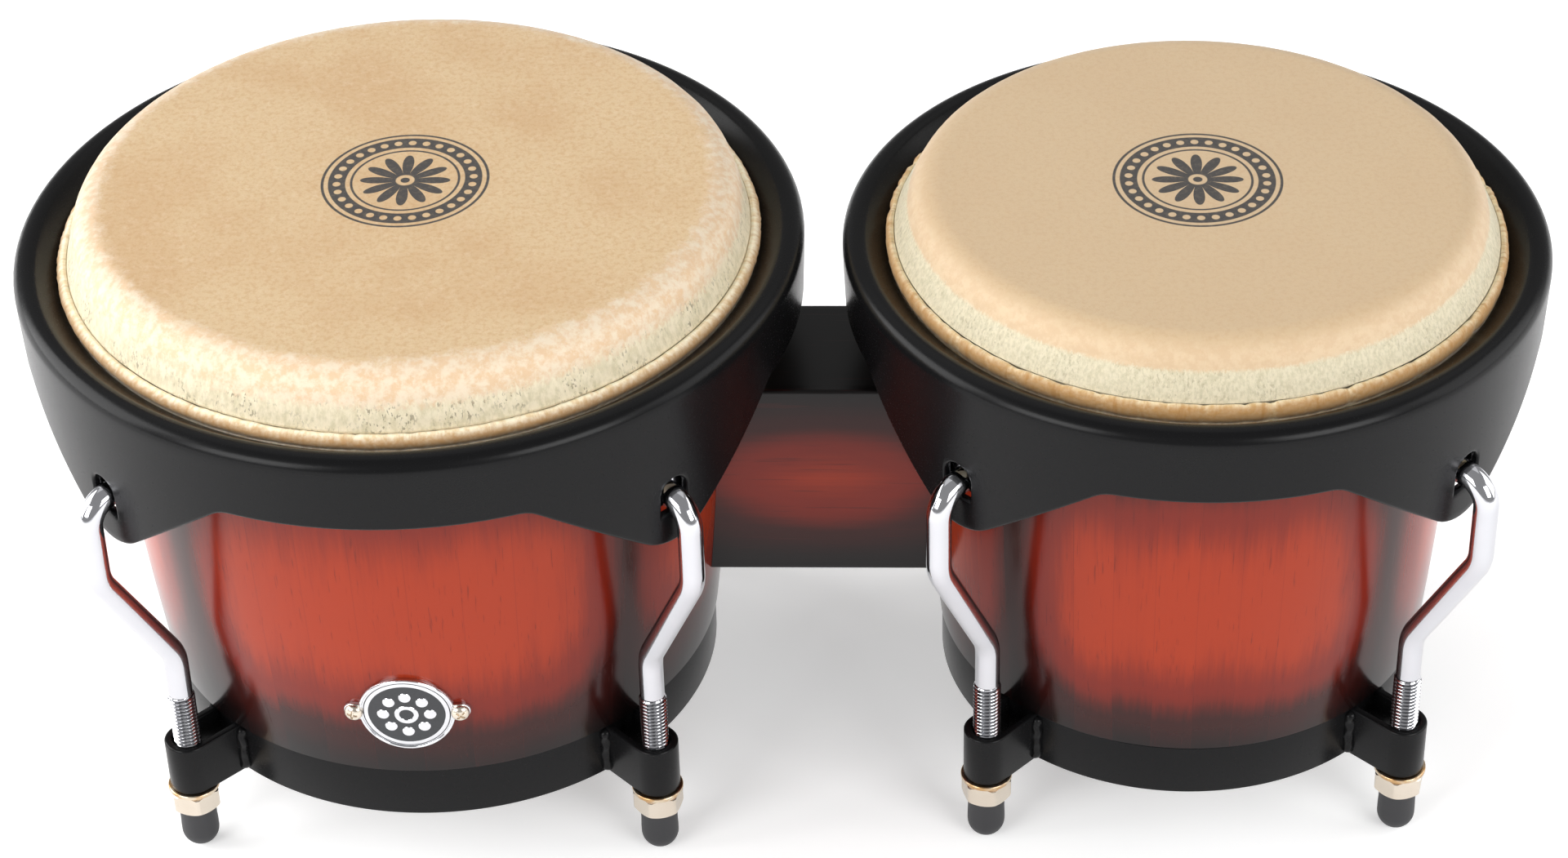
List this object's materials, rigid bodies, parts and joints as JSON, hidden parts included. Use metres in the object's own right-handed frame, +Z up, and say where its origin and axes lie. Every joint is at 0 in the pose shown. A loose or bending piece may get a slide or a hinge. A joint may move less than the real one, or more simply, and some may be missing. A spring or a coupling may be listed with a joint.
{
  "type": "bongo drums",
  "caption": "Pair of hand drums on a centre block: tapered shells, skin heads, slotted steel rims and hooked tuning rods that end in nuts and rubber caps.",
  "frame": {"origin": "middle of the base, on the surface that the rubber caps stand on", "axes": "+X from the larger drum to the smaller one, -Y towards the player, +Z up"},
  "size_m": [0.4274, 0.2208, 0.186],
  "materials": {
    "stave_wood": "sunburst lacquer, gloss, orange-red fading to black at both ends",
    "block_wood": "sunburst lacquer with a black top, satin",
    "black_steel": "satin black powder coat",
    "rawhide": "natural untreated hide, matt with a soft sheen",
    "hoop_steel": "plain steel wire",
    "rod_chrome": "bright chrome plate",
    "nut_nickel": "nickel plate",
    "washer_zinc": "zinc plate with a yellowed edge",
    "cap_rubber": "matt black rubber",
    "bolt_steel": "zinc plated steel",
    "insert_brass": "turned brass",
    "badge_metal": "polished plate with a black inset"
  },
  "bodies": {
    "shells_and_block": {"large_shell": "stave_wood", "large_bottom_band": "black_steel", "large_skin_head": "rawhide", "large_block_bolt_lower": "bolt_steel", "large_block_washer_lower": "bolt_steel", "large_block_bolt_upper": "bolt_steel", "large_block_washer_upper": "bolt_steel", "large_lug_washer_1": "washer_zinc", "large_lug_washer_2": "washer_zinc", "large_lug_washer_3": "washer_zinc", "large_lug_washer_4": "washer_zinc", "small_shell": "stave_wood", "small_bottom_band": "black_steel", "small_skin_head": "rawhide", "small_block_bolt_lower": "bolt_steel", "small_block_washer_lower": "bolt_steel", "small_block_bolt_upper": "bolt_steel", "small_block_washer_upper": "bolt_steel", "small_lug_washer_1": "washer_zinc", "small_lug_washer_2": "washer_zinc", "small_lug_washer_3": "washer_zinc", "small_lug_washer_4": "washer_zinc", "centre_block": "block_wood", "block_threaded_inserts": "insert_brass", "badge_plate": "badge_metal", "badge_screws": "badge_metal"},
    "large_rim_set": {"large_rim": "black_steel", "large_flesh_hoop": "hoop_steel", "large_tuning_rod_1": "rod_chrome", "large_rubber_cap_1": "cap_rubber", "large_tuning_rod_2": "rod_chrome", "large_rubber_cap_2": "cap_rubber", "large_tuning_rod_3": "rod_chrome", "large_rubber_cap_3": "cap_rubber", "large_tuning_rod_4": "rod_chrome", "large_rubber_cap_4": "cap_rubber"},
    "small_rim_set": {"small_rim": "black_steel", "small_flesh_hoop": "hoop_steel", "small_tuning_rod_1": "rod_chrome", "small_rubber_cap_1": "cap_rubber", "small_tuning_rod_2": "rod_chrome", "small_rubber_cap_2": "cap_rubber", "small_tuning_rod_3": "rod_chrome", "small_rubber_cap_3": "cap_rubber", "small_tuning_rod_4": "rod_chrome", "small_rubber_cap_4": "cap_rubber"},
    "large_nut_1": {"large_tuning_nut_1": "nut_nickel"},
    "large_nut_2": {"large_tuning_nut_2": "nut_nickel"},
    "large_nut_3": {"large_tuning_nut_3": "nut_nickel"},
    "large_nut_4": {"large_tuning_nut_4": "nut_nickel"},
    "small_nut_1": {"small_tuning_nut_1": "nut_nickel"},
    "small_nut_2": {"small_tuning_nut_2": "nut_nickel"},
    "small_nut_3": {"small_tuning_nut_3": "nut_nickel"},
    "small_nut_4": {"small_tuning_nut_4": "nut_nickel"}
  },
  "joints": [
    {"name": "large_head_tension", "type": "slide", "parent": "shells_and_block", "child": "large_rim_set", "axis": [0, 0, -1], "range_m": [0, 0.006], "deforming": ["large_skin_head"]},
    {"name": "large_nut_1_turn", "type": "hinge", "parent": "shells_and_block", "child": "large_nut_1", "pos_m": [-0.03612, -0.06717, 0.0182], "axis": [0, 0, 1], "range_deg": [0, 1728.1]},
    {"name": "large_nut_2_turn", "type": "hinge", "parent": "shells_and_block", "child": "large_nut_2", "pos_m": [-0.03612, 0.06717, 0.0182], "axis": [0, 0, 1], "range_deg": [0, 1728.1]},
    {"name": "large_nut_3_turn", "type": "hinge", "parent": "shells_and_block", "child": "large_nut_3", "pos_m": [-0.17047, 0.06717, 0.0182], "axis": [0, 0, 1], "range_deg": [0, 1728.1]},
    {"name": "large_nut_4_turn", "type": "hinge", "parent": "shells_and_block", "child": "large_nut_4", "pos_m": [-0.17047, -0.06717, 0.0182], "axis": [0, 0, 1], "range_deg": [0, 1728.1]},
    {"name": "small_head_tension", "type": "slide", "parent": "shells_and_block", "child": "small_rim_set", "axis": [0, 0, -1], "range_m": [0, 0.006], "deforming": ["small_skin_head"]},
    {"name": "small_nut_1_turn", "type": "hinge", "parent": "shells_and_block", "child": "small_nut_1", "pos_m": [0.17713, -0.05729, 0.0182], "axis": [0, 0, 1], "range_deg": [0, 1728.1]},
    {"name": "small_nut_2_turn", "type": "hinge", "parent": "shells_and_block", "child": "small_nut_2", "pos_m": [0.17299, 0.06143, 0.0182], "axis": [0, 0, 1], "range_deg": [0, 1728.1]},
    {"name": "small_nut_3_turn", "type": "hinge", "parent": "shells_and_block", "child": "small_nut_3", "pos_m": [0.05427, 0.05729, 0.0182], "axis": [0, 0, 1], "range_deg": [0, 1728.1]},
    {"name": "small_nut_4_turn", "type": "hinge", "parent": "shells_and_block", "child": "small_nut_4", "pos_m": [0.05841, -0.06143, 0.0182], "axis": [0, 0, 1], "range_deg": [0, 1728.1]}
  ],
  "couplings": [
    {"joint": "large_nut_1_turn", "follows": "large_head_tension", "rad_per_m": 5026.5},
    {"joint": "large_nut_2_turn", "follows": "large_head_tension", "rad_per_m": 5026.5},
    {"joint": "large_nut_3_turn", "follows": "large_head_tension", "rad_per_m": 5026.5},
    {"joint": "large_nut_4_turn", "follows": "large_head_tension", "rad_per_m": 5026.5},
    {"joint": "small_nut_1_turn", "follows": "small_head_tension", "rad_per_m": 5026.5},
    {"joint": "small_nut_2_turn", "follows": "small_head_tension", "rad_per_m": 5026.5},
    {"joint": "small_nut_3_turn", "follows": "small_head_tension", "rad_per_m": 5026.5},
    {"joint": "small_nut_4_turn", "follows": "small_head_tension", "rad_per_m": 5026.5}
  ]
}
